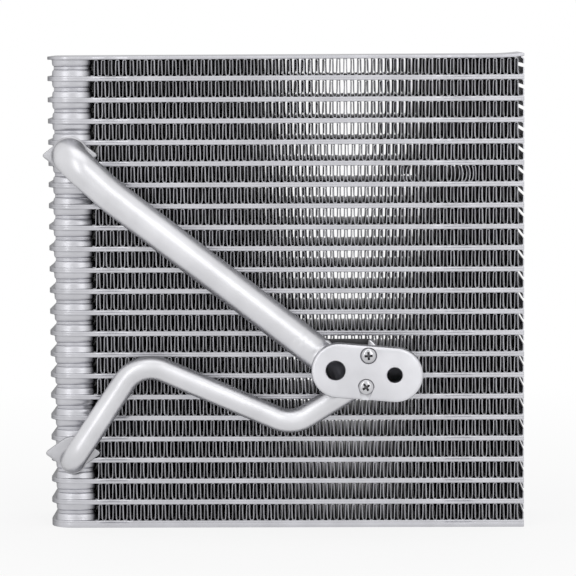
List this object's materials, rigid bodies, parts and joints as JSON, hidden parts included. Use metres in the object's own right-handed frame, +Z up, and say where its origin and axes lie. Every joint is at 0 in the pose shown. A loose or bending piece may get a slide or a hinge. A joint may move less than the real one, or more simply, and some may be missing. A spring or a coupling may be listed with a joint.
{
  "type": "automotive evaporator core",
  "caption": "Stacked-plate heat exchanger core with corrugated fins, side tank cups, two bent refrigerant pipes and a flanged valve plate.",
  "frame": {"origin": "centre of the base plate's underside, under the middle of the core block", "axes": "+X along the tubes away from the tank, -Y out of the face with the pipes, +Z up through the stack of tubes"},
  "size_m": [0.2388, 0.0989, 0.2369],
  "materials": {
    "plate": "satin",
    "fin": "satin",
    "pipe": "satin",
    "fitting": "machined satin",
    "screw": "zinc plated"
  },
  "bodies": {
    "root": {"base_plate": "plate", "tube_01": "plate", "tube_02": "plate", "tube_03": "plate", "tube_04": "plate", "tube_05": "plate", "tube_06": "plate", "tube_07": "plate", "tube_08": "plate", "tube_09": "plate", "tube_10": "plate", "tube_11": "plate", "tube_12": "plate", "tube_13": "plate", "tube_14": "plate", "tube_15": "plate", "tube_16": "plate", "tube_17": "plate", "tube_18": "plate", "tube_19": "plate", "tube_20": "plate", "tube_21": "plate", "top_plate": "plate", "fin_01": "fin", "fin_02": "fin", "fin_03": "fin", "fin_04": "fin", "fin_05": "fin", "fin_06": "fin", "fin_07": "fin", "fin_08": "fin", "fin_09": "fin", "fin_10": "fin", "fin_11": "fin", "fin_12": "fin", "fin_13": "fin", "fin_14": "fin", "fin_15": "fin", "fin_16": "fin", "fin_17": "fin", "fin_18": "fin", "fin_19": "fin", "fin_20": "fin", "fin_21": "fin", "fin_22": "fin", "suction_fitting": "fitting", "liquid_fitting": "fitting", "suction_pipe": "pipe", "liquid_pipe": "pipe", "valve_plate": "fitting", "clamp_block": "fitting", "upper_screw": "screw", "lower_screw": "screw"}
  },
  "joints": []
}
